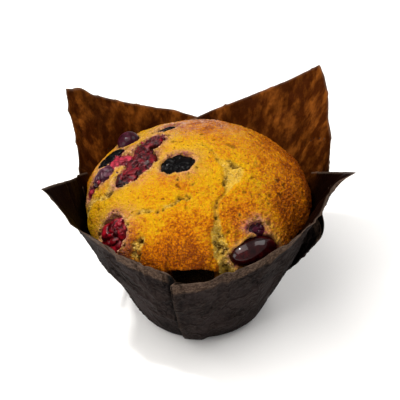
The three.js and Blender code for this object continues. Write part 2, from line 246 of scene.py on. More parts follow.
def sheet_columns():
    """Every column of the sheet: its leg, its azimuth at the hem and at the base, its layer, how far the fold
    at the front opens there, and its hem. A doubled-back leg's hem is the straight line between its ends."""
    columns = []
    for number, (panel, a, b, first, last, base_first, base_last) in enumerate(LEGS):
        share = np.arange(0, 1, (PANEL_STEP if panel else TUCK_STEP) / abs(b - a))
        azimuth = blend(a, b, share)
        base = blend(base_first, base_last, share)
        ajar = 0 * share
        if panel:
            hem = hem_of(panel, azimuth)
            over = first * (1 - ease((azimuth - a - LAP.get(a, 0) - 1) / 8))
            if panel == "front_right":
                ajar = np.exp(-((azimuth - a) / 5))
            under = last * ease((azimuth - b + LAP.get(b, 0) + 9) / 8)
            layer = over + under
        else:
            before, after = LEGS[number - 1], LEGS[(number + 1) % len(LEGS)]
            start = hem_of(before[0], np.array([before[2]], float))
            hem = blend(start, hem_of(after[0], np.array([after[1]], float)), share[None])
            layer = np.full(len(share), 1.0)
        leg = np.full(len(share), number)
        columns.append(np.vstack([leg, azimuth, base, layer, ajar, hem]))
    return np.hstack(columns)


# Each pleat: the leg outermost in it, the legs tucked under that, and the degrees added to the outermost
# one's azimuths to match theirs. The tucked legs stay inside the outermost one.
PLEATS = [(2, (0, 1), 0), (4, (2, 3), 0), (4, (5, 6), 0), (0, (6, 7), 360)]

# Each fold that shows outside: its azimuth at the hem and at the base, its height, and the side on which
# the layer under it shows, 1 where azimuth grows. A painted shadow darkens that layer along the fold, and the
# fold's edge is paler.
FOLDS = [(-11, -11, 52, -1), (70, 90.5, 43.5, -1), (172, 186.5, 49.5, -1), (280, 270, 45.5, 1)]


def crinkle(points):
    """How far the parchment stands off its plain shape: broad soft dents, longer up the wall than round it,
    and sharp little ridges where it was crushed, made by folding a random field at its zero."""
    tall = points * [1, 1, 0.5]
    soft = 0.3 + 0.75 * lattice(tall, 13, 3) + 0.36 * lattice(tall, 6.5, 4)
    fold = 1 - np.abs(lattice(tall, 9, 5)) * 3.6
    small = 1 - np.abs(lattice(points, 4.6, 6)) * 4
    return soft + 0.8 * np.clip(fold, 0, 1) ** 2 + 0.3 * np.clip(small, 0, 1) ** 2


columns = sheet_columns()
leg_number, hem_azimuth, base_azimuth, layer, ajar = columns[:5]
hem = columns[5:]

# Rows: out across the flat base, round the bend at the heel, and up the wall to the hem.
base_rows = np.linspace(0.12, 1, 7)[:, None]
heel_rows = (np.arange(1, 6) / 5)[:, None] * HEEL_TURN
wall_rows = np.linspace(0, 1, 61)[1:, None]
flat_here = flat_radius(base_azimuth)[None]
low_radius = np.vstack([base_rows * flat_here, flat_here + BEND * np.sin(heel_rows)])
low_height = np.vstack([0 * base_rows, BEND * (1 - np.cos(heel_rows))]).repeat(flat_here.size, axis=1)
high_radius, high_height = wall_at(hem[:, None], base_azimuth[None], wall_rows)
azimuths = np.vstack([np.repeat(base_azimuth[None], len(low_radius), 0),
                      blend(base_azimuth[None], hem_azimuth[None], wall_rows)])
radii = np.vstack([low_radius, high_radius])
heights = np.vstack([low_height, high_height])
share_up = np.vstack([np.zeros((len(low_radius), 1)), wall_rows])

# A tucked leg stands off the cone by no more than the outermost leg does at the same azimuth.
for outer, tucked, turn in PLEATS:
    over, under = leg_number == outer, np.isin(leg_number, tucked)
    for row in range(len(radii)):
        cone = CONE + heights[row] * LEAN
        limit = np.interp(azimuths[row, under], azimuths[row, over] + turn, (radii[row] - cone)[over],
                          left=np.inf, right=np.inf)
        radii[row, under] = np.minimum(radii[row, under], cone[under] + limit)

# Layers lift off each other as the wall rises, and every layer is dented, but never far into the muffin.
plain = rounds(azimuths, radii, heights)
lift = ease((radii - FLAT + 2) / 5) * ease(heights / 3 + 0.15)
outwards = rounds(azimuths, 1.0, 0.0)
# Painted shade: the outside darkens towards the foot of the wall, and goes near-black beside each fold where
# the layer under it lies in the fold's shadow.
painted_crevice_shade = 0.3 * (1 - ease((heights - 1) / 9))
pale_fold_edge = np.zeros_like(azimuths)
for crease, foot, top_of_fold, side in FOLDS:
    past = side * ((azimuths - blend(foot, crease, share_up) + 180) % 360 - 180)
    below = ease((top_of_fold + 0.5 - heights) / 2)
    painted_crevice_shade = np.maximum(painted_crevice_shade, ease((4.2 - past) / 1.8) * (past > -0.3) * (layer < 1.5)[None] * below)
    # The outer layer is paler along the edge of each fold.
    pale_fold_edge = np.maximum(pale_fold_edge, ease((past + 1.7) / 1.5) * (past < 0.3) * (layer > 1.5)[None] * ease(heights / 6))
dents = crinkle(plain) * ease(heights / 8) * blend(0.75, 1.25, share_up)
dents = np.maximum(dents, -DENT_LIMIT - 1.6 * ease((heights - MUFFIN_END) / 7))
stand_off = layer[None] * LAYER * lift + AJAR * ajar * ease((heights - 4) / 14) + dents
sheet = plain + outwards * stand_off[..., None]

# The inside lies one thickness in along the sheet's normals, joined to the outside at the hem only.
along = np.roll(sheet, -1, axis=1) - np.roll(sheet, 1, axis=1)
upward = np.gradient(sheet, axis=0)
facing = np.cross(along, upward)
facing /= np.linalg.norm(facing, axis=-1, keepdims=True) + 1e-9
inside = sheet - facing * SHEET

rows, cols = radii.shape
number = np.arange(rows * cols).reshape(rows, cols)
after = np.roll(number, -1, axis=1)
skin = np.stack([number[:-1], after[:-1], after[1:], number[1:]], axis=-1).reshape(-1, 4)
inner = rows * cols
edge = np.stack([number[-1], after[-1], after[-1] + inner, number[-1] + inner], axis=-1)
poles = 2 * inner
under_cap = np.stack([np.full(cols, poles), after[0], number[0]], axis=-1)
floor_cap = np.stack([np.full(cols, poles + 1), number[0] + inner, after[0] + inner], axis=-1)
wrap_points = np.vstack([sheet.reshape(-1, 3), inside.reshape(-1, 3), [[0, 0, 0], [0, 0, SHEET]]])


def both_sides(outer_side, inner_side, middles=(0, 0)):
    """A mark's values for the sheet's outside, its inside and the base's two middle points, in turn."""
    return np.concatenate([outer_side.ravel(), inner_side.ravel(), middles])


HEEL_RADIUS = 26  # mm, where the wall starts
from_hem = (1 - share_up) * np.hypot(hem[0] - HEEL_RADIUS, hem[1] - HEEL_TOP)[None]
ragged = lattice(plain, 9, 11) * 1.1 + lattice(plain, 3.5, 12) * 0.5
# At the right of the front-right panel the dry band is drawn wider and at full strength: painted light on
# that side.
right = ease((hem_azimuth - 15) / 30) * (leg_number == 0)
dry_band_and_painted_light = (1 - ease((from_hem + ragged - 4.6 - 2.4 * right) / 2.2)) * blend(0.72, 1, right)
# Painted shade: marks the inside of the front panels, which face away from the light.
painted_front_inside_shade = ease((np.cos(np.radians(azimuths)) + 0.5) / 0.45)
at_hem = ease(1 - from_hem / 0.9)
nowhere = np.zeros(inner)
wrap_marks = {
    "inner": both_sides(nowhere, nowhere + 1, (0, 1)),
    "dry_and_painted_light": both_sides(dry_band_and_painted_light, nowhere),
    "rim": both_sides(np.maximum(at_hem, 0.25 * pale_fold_edge), at_hem),
    "front": both_sides(nowhere, painted_front_inside_shade),
    "painted_crevice_shade": both_sides(painted_crevice_shade, nowhere),
}


# Mottling, used by the parchment, the crust and the berries: cloudy patches of one size with a finer cloud
# over them, stretched up the wall where butter has run.
mottle = bpy.data.node_groups.new("mottle", "ShaderNodeTree")
for socket in ("Size", "Squash", "Low", "High", "Fineness"):
    mottle.interface.new_socket(socket, in_out="INPUT", socket_type="NodeSocketFloat")
for socket in ("Mask", "Cloud"):
    mottle.interface.new_socket(socket, in_out="OUTPUT", socket_type="NodeSocketFloat")
mottle_in = mottle.nodes.new("NodeGroupInput")
mottle_out = mottle.nodes.new("NodeGroupOutput")
place = mottle.nodes.new("ShaderNodeTexCoord")
squash = mottle.nodes.new("ShaderNodeVectorMath")
squash.operation = "MULTIPLY"
pack = mottle.nodes.new("ShaderNodeCombineXYZ")
pack.inputs["X"].default_value = pack.inputs["Y"].default_value = 1
cloud = mottle.nodes.new("ShaderNodeTexNoise")
cloud.inputs["Roughness"].default_value = 0.6
spread_map = mottle.nodes.new("ShaderNodeMapRange")
spread_map.interpolation_type = "SMOOTHSTEP"
for source, socket, target, into in [
    (place, "Object", squash, 0), (pack, "Vector", squash, 1), (mottle_in, "Squash", pack, "Z"),
    (squash, "Vector", cloud, "Vector"), (mottle_in, "Size", cloud, "Scale"),
    (mottle_in, "Fineness", cloud, "Detail"), (cloud, "Fac", spread_map, "Value"),
    (mottle_in, "Low", spread_map, "From Min"), (mottle_in, "High", spread_map, "From Max"),
    (spread_map, "Result", mottle_out, "Mask"), (cloud, "Fac", mottle_out, "Cloud"),
]:
    mottle.links.new(source.outputs[socket], target.inputs[into])


class Finish:
    """A material under construction: its tree, its Principled shader, and short ways to add a mottle, a
    mark from the mesh, arithmetic, a colour mix or a bump."""

    def __init__(self, name, colour, roughness):
        """Starts from one plain colour and roughness, which nodes may take over."""
        self.material = bpy.data.materials.new(name)
        self.material.use_nodes = True
        self.tree = self.material.node_tree
        self.shader = self.tree.nodes["Principled BSDF"]
        self.shader.inputs["Base Color"].default_value = (*colour, 1)
        self.shader.inputs["Roughness"].default_value = roughness

    def feed(self, socket, value):
        """Sets a socket, or links it if the value is another node's output."""
        if isinstance(value, bpy.types.NodeSocket):
            self.tree.links.new(value, socket)
        elif isinstance(value, tuple):
            socket.default_value = (*value, 1)
        else:
            socket.default_value = value

    def mottle(self, size, low, high, squash=1.0, fineness=4.0, output="Mask"):
        """Patches about 1000 / size millimetres across: a mask from low to high, or the plain cloud."""
        node = self.tree.nodes.new("ShaderNodeGroup")
        node.node_tree = mottle
        values = {"Size": size, "Squash": squash, "Low": low, "High": high, "Fineness": fineness}
        for socket, value in values.items():
            node.inputs[socket].default_value = value
        return node.outputs[output]

    def crease(self, size, squash, sharpness):
        """Thin ridges where a cloud crosses its middle value: 1 on the ridge, falling away on both sides."""
        patches = self.mottle(size, 0, 1, squash, 3.0, "Cloud")
        off_middle = self.math("ABSOLUTE", self.minus(patches, 0.5), 0)
        return self.minus(1, self.times(off_middle, sharpness), clamp=True)

    def mark(self, name):
        """The number that the mesh keeps under that name."""
        node = self.tree.nodes.new("ShaderNodeAttribute")
        node.attribute_name = name
        return node.outputs["Fac"]

    def math(self, operation, a, b, clamp=False):
        """One arithmetic step on two numbers, kept between 0 and 1 if clamped."""
        node = self.tree.nodes.new("ShaderNodeMath")
        node.operation = operation
        node.use_clamp = clamp
        self.feed(node.inputs[0], a)
        self.feed(node.inputs[1], b)
        return node.outputs[0]

    def times(self, a, b, clamp=False):
        """The product of two numbers."""
        return self.math("MULTIPLY", a, b, clamp)

    def plus(self, a, b, clamp=False):
        """The sum of two numbers."""
        return self.math("ADD", a, b, clamp)

    def minus(self, a, b, clamp=False):
        """The first number less the second."""
        return self.math("SUBTRACT", a, b, clamp)

    def mix(self, share, first, second):
        """The colour first where share is 0 and second where it is 1."""
        node = self.tree.nodes.new("ShaderNodeMix")
        node.data_type = "RGBA"
        self.feed(node.inputs[0], share)
        self.feed(node.inputs[6], first)
        self.feed(node.inputs[7], second)
        return node.outputs[2]

    def bump(self, height, strength, depth):
        """Fine relief too small for the mesh, depth in metres."""
        node = self.tree.nodes.new("ShaderNodeBump")
        node.inputs["Strength"].default_value = strength
        node.inputs["Distance"].default_value = depth
        self.feed(node.inputs["Height"], height)
        self.feed(self.shader.inputs["Normal"], node.outputs["Normal"])


paper = Finish("parchment", (0.05, 0.036, 0.028), 0.62)
outer_clouds = paper.mottle(70, 0.36, 0.66)
outside = paper.mix(outer_clouds, (0.003, 0.0019, 0.0019), (0.0165, 0.0113, 0.0108))
crease = paper.crease(70, 0.7, 14.0)
fibre = paper.mottle(1100, 0.44, 0.62, 1.0, 2.0)
outside = paper.mix(paper.times(fibre, 0.5), outside, (0.031, 0.0225, 0.02))
dry_and_painted_light = paper.mix(fibre, (0.056, 0.034, 0.023), (0.125, 0.08, 0.055))
# Painted sheen: the outside is lighter along the crease ridges.
outside = paper.mix(paper.times(crease, 0.4), outside, (0.03, 0.022, 0.019))
# The dry band along the hem, with painted light where it widens at the right of the front-right panel.
outside = paper.mix(paper.mark("dry_and_painted_light"), outside, dry_and_painted_light)
# Painted shade at the foot of the wall and painted shadow beside the folds.
outside = paper.mix(paper.mark("painted_crevice_shade"), outside, (0.0006, 0.0004, 0.0004))
streaks = paper.mottle(260, 0.4, 0.7, 0.3, 6.0)
butter = paper.mix(streaks, (0.036, 0.0075, 0.0007), (0.16, 0.046, 0.0056))
burnt = paper.mottle(95, 0.46, 0.64, 0.5, 5.0)
butter = paper.mix(paper.times(burnt, 0.6), butter, (0.022, 0.005, 0.0007))
# Painted shade: the inside of the front panels is darkened to near black.
butter = paper.mix(paper.mark("front"), butter, (0.003, 0.0008, 0.0004))
body = paper.mix(paper.mark("inner"), outside, butter)
body = paper.mix(paper.times(paper.mark("rim"), 0.5), body, (0.11, 0.078, 0.058))
paper.feed(paper.shader.inputs["Base Color"], body)
sheen = paper.times(paper.mark("inner"), -0.16)
paper.feed(paper.shader.inputs["Roughness"], paper.plus(sheen, 0.62))
paper.shader.inputs["Specular IOR Level"].default_value = 0.012
on_outside = paper.minus(1.25, paper.mark("inner"))
grain = paper.times(paper.mottle(520, 0, 1, 0.6, 6.0, "Cloud"), 0.7)
relief = paper.plus(paper.times(crease, on_outside), grain)
paper.bump(relief, 1.0, 0.001)

wrap_faces = [skin, skin[:, ::-1] + inner, edge, under_cap, floor_cap]
wrap = put_mesh("parchment_wrap", wrap_points, wrap_faces, wrap_marks, paper.material)
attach(wrap, "root")
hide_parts("paper_case")


# ------------ where the berries lie
# The berries were stirred into the batter and came up with it. Each lies square to the crown, some whole and
# proud of it, some sunk in a torn slot, some burst and fallen in, with a stain in the crumb round them.

CROWN = 42.0  # mm, widest radius of the muffin
WIDEST = 46.0  # mm, height of the widest ring
RISE = 24.5  # mm, from there to the top

# Place in plan, depth of the centre under the crown, half lengths along, across and up, turn in degrees,
# size of the torn opening as a share of the berry, its depth, and how far the stain runs.
BERRIES = {
    "berry_round": ((-26.4, 16.4), 0.4, (4.3, 4.3, 4.2), 0, 1.0, 2.0, 1.2),
    "berry_slot": ((-7.8, -7.3), 2.6, (7.3, 5.6, 2.8), 8, 0.86, 2.2, 1.5),
    "berry_slit": ((-11.8, 19.2), 2.2, (4.6, 3.0, 2.4), 25, 0.95, 1.6, 2.6),
    "berry_cluster_top": ((-18.4, 7.0), 2.0, (6.6, 5.0, 3.4), 40, 1.0, 2.2, 1.8),
    "berry_cluster_mid": ((-20.6, -2.8), 2.1, (7.0, 5.8, 3.6), 75, 1.0, 2.2, 2.2),
    "berry_cluster_low": ((-25.4, -8.2), 2.2, (5.4, 4.2, 3.0), 20, 1.0, 1.9, 1.8),
    "berry_dark": ((-32.4, 7.4), 1.5, (6.2, 3.4, 3.0), 12, 1.0, 1.7, 1.4),
    "berry_flesh": ((-29.0, 2.8), 1.8, (5.6, 3.3, 2.8), 8, 1.0, 1.7, 2.0),
    "berry_purple": ((-35.2, -0.6), 1.8, (5.0, 3.7, 3.2), 30, 1.0, 1.7, 2.2),
    "berry_edge": ((-39.4, -4.4), 1.8, (3.0, 2.8, 2.2), 0, 1.0, 1.2, 1.4),
    "berry_burst": ((-30.0, -26.8), 2.9, (7.0, 5.4, 4.4), 30, 1.0, 2.4, 2.0),
    "berry_oval": ((19.9, -35.1), 3.1, (8.9, 5.1, 5.0), 26, 1.0, 2.0, 0.8),
    "berry_small": ((20.4, -29.6), 3.0, (3.7, 2.9, 2.6), 20, 0.85, 1.5, 1.2),
}

SWELLINGS = [  # place in plan, reach and rise, mm
    (16, 4, 15, 1.1), (-3, -33, 10, 1.5), (-22, -19, 9, 0.8), (17, -23, 8, 0.8), (-6, 6, 9, 0.7),
    (8, -18, 7, -1.0), (9, -37, 5, -1.4), (-24, 1, 10, -1.1), (-11, -17, 6, 0.6), (-33, -14, 7, 0.7),
    (-42, 0, 14, 1.3),
]


def swelling(x, y):
    """The crown's low swellings and hollows: a sum of round bells."""
    return sum(h * np.exp(-((x - cx) ** 2 + (y - cy) ** 2) / reach**2) for cx, cy, reach, h in SWELLINGS)


def berry_frame(place, sink, turn):
    """A berry's centre and its own three axes: up along the crown's normal there, along and across it turned
    about that normal from the table's axes."""
    x, y = place
    level = RISE * math.sqrt(1 - min(math.hypot(x, y) / CROWN, 0.97) ** 2)
    normal = Vector((x / CROWN**2, y / CROWN**2, level / RISE**2)).normalized()
    centre = Vector((x, y, WIDEST + level + float(swelling(x, y)))) - normal * sink
    tip = Vector((0, 0, 1)).rotation_difference(normal)
    angle = math.radians(turn)
    along_it = (math.cos(angle), math.sin(angle), 0)
    across_it = (-math.sin(angle), math.cos(angle), 0)
    axes = [tip @ Vector(axis) for axis in (along_it, across_it, (0, 0, 1))]
    return np.array(centre), np.array([list(axis) for axis in axes])


# ------------ muffin
# Cake batter that rose out of the wrap, set to a thin golden crust, split along its middle while the inside
# was still rising, and browned where it stood nearest the heat. The splits show pale open crumb.

SPLIT = [  # the long split, by place in plan, mm
    (1.5, 3), (4.5, -0.5), (7, -4.5), (10, -7), (12, -10), (11.5, -14), (9.7, -17.8), (7.8, -21), (6, -24.5),
    (5.4, -29), (6, -33), (7.8, -36.5), (10, -40),
]
# Along it, by the share of its length: how wide it gapes, how far pale crumb shows, and how deep it is.
SPLIT_WIDTH = ([0, 0.2, 0.27, 0.36, 0.46, 0.55, 0.65, 0.76, 0.88, 1],
               [0.5, 0.8, 2.0, 3.0, 1.8, 0.8, 0.7, 1.2, 2.2, 2.6])
SPLIT_CRUMB = ([0, 0.2, 0.3, 0.46, 0.56, 0.7, 0.8, 1], [0.35, 0.4, 0.8, 0.8, 0.35, 0.4, 0.9, 1])
SPLIT_DEPTH = ([0, 0.12, 0.3, 0.44, 0.62, 0.8, 1], [0.3, 0.5, 0.7, 0.7, 1.0, 1.7, 2.2])
TEARS = [  # smaller ones: line in plan, half width and depth in mm, and whether it comes and goes
    ([(-2.5, -22), (-6.8, -23.3), (-9, -25), (-13, -26.5), (-17.5, -26), (-23.5, -25)], 0.8, 0.9, True),
    ([(-22.5, -33.5), (-20, -34)], 1.2, 1.3, False),
    ([(-39, -9), (-34, -13), (-29.5, -12)], 1.3, 0.8, False),
]
PITS = [  # the larger open pores, by place in plan and radius, mm
    (-17.2, -25.8, 0.7), (-13.6, -26.6, 0.8), (-11.6, -26.3, 0.6), (-9, -25, 0.5), (-6.8, -23.3, 0.6),
    (-2.9, -22.1, 0.7), (-4, -21.5, 0.5), (1.5, 2.2, 0.8), (3, 0.8, 0.5), (4.4, -0.7, 0.7), (6.8, -5, 0.8),
    (9.8, -13.4, 1.1), (12.2, -8, 0.5), (6.2, -24, 0.6), (5.6, -29, 0.5), (7.6, -34, 0.8), (9, -36.5, 1),
    (8.4, -33.6, 0.6), (10.6, -37.6, 0.8), (-0.2, -9.6, 0.5), (-7.4, -15.4, 0.6), (-3.4, -14.4, 0.5),
    (-2.2, -17.4, 0.5), (-15.2, 12.6, 0.7), (-13.8, 14, 0.6), (-12.6, 15.6, 0.6), (-16.4, 11, 0.5),
    (-33.4, -13.4, 0.7), (-35.6, -12, 0.8), (-38.2, -7.6, 0.8), (-30.2, -11.2, 0.5), (-22.2, -34.2, 0.8),
    (-20.6, -35.6, 0.7), (-20.2, -33, 0.6), (14, -27, 0.5), (24, -20, 0.4), (27, -9, 0.4), (20, -4, 0.4),
]
PIT_SPREAD = 0.68  # reach of a pore's bell, as a share of its radius
SIDE_GAP = 0.8  # mm, air between the muffin's side and the parchment
OWN_RANGE = [  # the panel that the muffin meets, from one azimuth to another
    ("front_right", 3, 107), ("back_right", 107, 192), ("back_left", 192, 253), ("front_left", 253, 363),
]
BROWNING = [  # place in plan, reach in mm, strength
    (-3, -37, 10, 0.75), (13, -27, 7, 0.6), (44, 2, 15, 0.7), (36, -22, 12, 0.6), (38, 20, 14, 0.55),
    (6, 27, 15, 0.6), (-14, 34, 10, 0.3), (-9, -15, 6, 0.34), (-24, -36, 9, 0.6), (24, 8, 14, 0.34),
    (-43, 12, 9, 0.5), (28, -12, 8, 0.3), (2, 13, 8, 0.3),
]


def near_path(x, y, path):
    """Distance to a line drawn through points, and the share of the way along it: the nearest of its
    straight stretches, each found by dropping a square on to it."""
    nearest = np.full(x.shape, np.inf)
    along_path = np.zeros(x.shape)
    for k, ((ax, ay), (bx, by)) in enumerate(zip(path[:-1], path[1:])):
        length = (bx - ax) ** 2 + (by - ay) ** 2
        t = np.clip(((x - ax) * (bx - ax) + (y - ay) * (by - ay)) / length, 0, 1)
        d = np.hypot(x - ax - t * (bx - ax), y - ay - t * (by - ay))
        along_path = np.where(d < nearest, (k + t) / (len(path) - 1), along_path)
        nearest = np.minimum(nearest, d)
    return nearest, along_path


def side_radius(azimuth, height):
    """The muffin's side: one gap inside the parchment at that height, taking the tightest of three places
    4 degrees apart so that it clears the pleats. Above the hem it goes on up the slope of the cone."""
    tightest = np.full(np.broadcast(azimuth, height).shape, np.inf)
    for turn in (-4, 0, 4):
        here = (azimuth + turn) % 360
        for panel, first, last in OWN_RANGE:
            for wound in (here, here + 360):
                hem = hem_of(panel, wound)
                share = np.clip((height - HEEL_TOP) / (hem[1].T - HEEL_TOP), 0, 1)
                radius, _ = wall_at([h.T for h in hem], wound, share)
                radius = radius + np.clip(height - hem[1].T, 0, None) * LEAN
                own = (wound >= first) & (wound <= last)
                tightest = np.where(own, np.minimum(tightest, radius), tightest)
    return tightest - SIDE_GAP


def crown_relief(points):
    """How far the crust stands off the plain dome, with the marks that colour it. Swellings, a split whose
    walls fall away on both sides of a line, torn openings round the berries, and crumb, blisters and pores
    from random fields of several sizes."""
    x, y = points[..., 0], points[..., 1]
    wander = lattice(points, 4.2, 21) * 1.3 + lattice(points, 1.7, 22) * 0.55
    drift = lattice(points, 3.8, 23) * 1.3 + lattice(points, 1.5, 24) * 0.55
    coarse, fine, grit = lattice(points, 1.9, 25), lattice(points, 1.05, 26), lattice(points, 0.72, 27)
    height = swelling(x, y) + 0.35 * lattice(points, 9, 28) + 0.2 * lattice(points, 4.5, 29)

    # The long split and the smaller tears: bells across a wandering line, pale crumb inside.
    crumb = np.zeros(x.shape)
    gap, t = near_path(x + wander, y + drift, SPLIT)
    width, depth = np.interp(t, *SPLIT_WIDTH), np.interp(t, *SPLIT_DEPTH)
    height -= depth * bell(gap / (width * 0.9))
    height += 0.3 * bell((gap - width * 1.9) / 1.2)
    crumb = np.maximum(crumb, ease((width * 1.3 - gap) / 0.9) * np.interp(t, *SPLIT_CRUMB))
    broken = ease((lattice(points, 2.6, 33) + 0.1) / 0.35)
    for path, wide, deep, comes_and_goes in TEARS:
        torn = broken if comes_and_goes else 1
        gap, _ = near_path(x + wander, y + drift, path)
        height -= deep * torn * bell(gap / wide)
        crumb = np.maximum(crumb, ease((wide * 1.2 - gap) / 0.9) * torn)

    pit = np.zeros(x.shape)
    for px, py, size in PITS:
        gap = np.hypot(x - px + 0.35 * wander, y - py + 0.35 * drift) / (PIT_SPREAD * size)
        pit = np.maximum(pit, bell(gap))
        crumb = np.maximum(crumb, 0.3 * bell(gap / 2))
    height -= 0.8 * pit

    # Behind the fold at the front the cake has shrunk away from the parchment, under an arched edge.
    # The gap there is painted near-black as painted shadow.
    off_fold = bearing(x, y) + 2.5
    arch = 50.6 + 0.4 * drift - 0.012 * off_fold**2
    shrunk_with_painted_shadow = np.exp(-((off_fold / 11.5) ** 4)) * ease((arch - points[..., 2]) / 1.6)
    height -= 6 * shrunk_with_painted_shadow

    # Round each berry: a torn opening, a raised lip, crumb along the edge and juice that fades outwards.
    stain = np.zeros(x.shape)
    for berry_place, _, half, turn, opening, deep, run in BERRIES.values():
        centre, axes = berry_frame(berry_place, 0, turn)
        local = (points - centre) @ axes.T
        reach_x, reach_y = half[0] * opening, half[1] * opening
        ragged_edge = 0.85 if run > 1.5 else 0.4  # more where much juice ran
        e = np.hypot(local[..., 0] / reach_x, local[..., 1] / reach_y)
        gap = (e - 1) * min(reach_x, reach_y) + 0.48 * wander + 0.3 * coarse
        gap = np.where(np.abs(local[..., 2]) < 12, gap, np.inf)
        height -= deep * ease(0.5 - gap / 0.5)
        height += 0.35 * bell((gap - 1.2) / 0.9)
        soak = np.exp(-np.clip(gap + 0.6 * wander, 0, None) / run)
        stain = np.maximum(stain, soak * ease((9 - gap) / 6))
        crumb = np.maximum(crumb, ragged_edge * ease((1.1 + 0.8 * wander - np.abs(gap - 0.6)) / 1.2))

    # Brown where the heat was, and all round the edge but at the left.
    brown = 0.1 + 0.12 * lattice(points, 7, 30) + 0.1 * lattice(points, 3, 31)
    for bx, by, reach_mm, strength in BROWNING:
        brown = brown + strength * np.exp(-((x - bx) ** 2 + (y - by) ** 2) / reach_mm**2)
    brown = brown + 0.28 * ease((np.hypot(x, y) - 35) / 8) * (x > -30)
    brown = np.clip(brown - 0.35 * crumb, 0, 1)

    # Fine blisters on the brown crust, small pores in the pale, and rough torn crumb.
    blister = np.clip(fine * 1.6, 0, 1) ** 1.5 * (0.1 + 0.2 * brown)
    pore = ease((-coarse - 0.62 + 0.25 * crumb) / 0.16) * ease((lattice(points, 8, 32) + 0.2 + crumb) / 0.6)
    height += blister + 0.05 * grit - 0.35 * pore * (1 - crumb)
    height += crumb * (0.5 * coarse + 0.34 * fine + 0.12 * grit)
    hole = ease((-coarse - fine * 0.5 - 0.38) / 0.25) * crumb
    height -= 0.9 * hole
    # Painted shade: pits, pores and crumb holes are coloured dark for the shade inside them.
    painted_pore_shade = np.clip(np.maximum(np.maximum(hole, pore * 0.8), 1.3 * pit), 0, 1.2)
    return height, {"brown": brown, "crumb": crumb, "stain": stain, "hole": painted_pore_shade, "shrunk_with_painted_shadow": shrunk_with_painted_shadow}


def square_to_disc(count):
    """A square grid bent into a disc: each ring of squares becomes a circle of the same share, its points
    evenly spaced in angle along each side."""
    a, b = np.meshgrid(np.linspace(-1, 1, count), np.linspace(-1, 1, count), indexing="ij")
    wide = np.abs(a) > np.abs(b)
    share = np.where(wide, a, b)
    with np.errstate(divide="ignore", invalid="ignore"):
        angle = np.where(wide, np.pi / 4 * b / a, np.pi / 2 - np.pi / 4 * a / b)
    angle = np.where(share == 0, 0, angle)
    return share * np.cos(angle), share * np.sin(angle)


def crown_points(p, q):
    """The plain dome over a unit disc: out from the top along an ellipse to 15 degrees below its widest
    ring, narrowed to fit the parchment. Also the outward normals."""
    share = np.hypot(p, q)
    azimuth = bearing(p, q)
    widest = np.minimum(CROWN, side_radius(azimuth, WIDEST))
    fall = share * math.radians(105)
    height = WIDEST + RISE * np.cos(fall)
    radius = widest * np.sin(fall)
    radius = np.where(fall > np.pi / 2, np.minimum(radius, side_radius(azimuth, height)), radius)
    points = rounds(azimuth, radius, height)
    normals = rounds(azimuth, np.sin(fall) / widest, np.cos(fall) / RISE)
    return points, normals / np.linalg.norm(normals, axis=-1, keepdims=True)


CROWN_GRID = 291
crown, crown_normals = crown_points(*square_to_disc(CROWN_GRID))
relief, crust_marks = crown_relief(crown)
above = ease((crown[..., 2] - WIDEST + 5) / 6)  # the relief fades out below the widest ring
crown = crown + crown_normals * (relief * above)[..., None]

# Where the parchment is near, the relief may swell into its gap by no more than this.
SWELL_LIMIT = 0.35  # mm
NEAR_TOP = 54  # mm, height up to which it is near
snug = side_radius(bearing(crown[..., 0], crown[..., 1]), crown[..., 2]) + SWELL_LIMIT
snug = np.where(crown[..., 2] < NEAR_TOP, snug, np.inf)
crown[..., :2] *= np.minimum(1, snug / np.hypot(crown[..., 0], crown[..., 1]).clip(1))[..., None]

# The side and foot go on from the crown's edge, ring by ring, down to just above the parchment's base.
ids = np.arange(CROWN_GRID**2).reshape(CROWN_GRID, CROWN_GRID)
crown_faces = np.stack([ids[:-1, :-1], ids[1:, :-1], ids[1:, 1:], ids[:-1, 1:]], axis=-1).reshape(-1, 4)
rim_ids = np.concatenate([ids[:-1, 0], ids[-1, :-1], ids[:0:-1, -1], ids[0, :0:-1]])
rim = crown.reshape(-1, 3)[rim_ids]
rim_azimuth = bearing(rim[:, 0], rim[:, 1])
FOOT_LEVEL = 0.95  # mm
side_levels = np.array([36, 30, 24, 17, 10, 5, 2.2, FOOT_LEVEL])
heel_in = np.sqrt(np.clip(BEND**2 - (BEND - side_levels) ** 2, 0, None)) * (side_levels < HEEL_TOP)
side_rings = []
for level, heel_bend in zip(side_levels, heel_in):
    radius = flat_radius(rim_azimuth) + heel_bend - SIDE_GAP if heel_bend else side_radius(rim_azimuth, level)
    side_rings.append(rounds(rim_azimuth, radius, level))
count = len(rim_ids)
ring_ids = np.vstack([rim_ids, CROWN_GRID**2 + np.arange(count * len(side_levels)).reshape(-1, count)])
ring_next = np.roll(ring_ids, -1, axis=1)
side_faces = np.stack([ring_ids[:-1], ring_ids[1:], ring_next[1:], ring_next[:-1]], axis=-1).reshape(-1, 4)
foot = CROWN_GRID**2 + count * len(side_levels)
foot_faces = np.stack([ring_ids[-1], np.full(count, foot), ring_next[-1]], axis=-1)
cake_points = np.vstack([crown.reshape(-1, 3), *side_rings, [[0, 0, FOOT_LEVEL]]])
SIDE_MARK = 0.3  # what the hidden side keeps of every mark
on_side = np.full(len(cake_points) - CROWN_GRID**2, SIDE_MARK)
cake_marks = {name: np.concatenate([values.ravel(), on_side]) for name, values in crust_marks.items()}

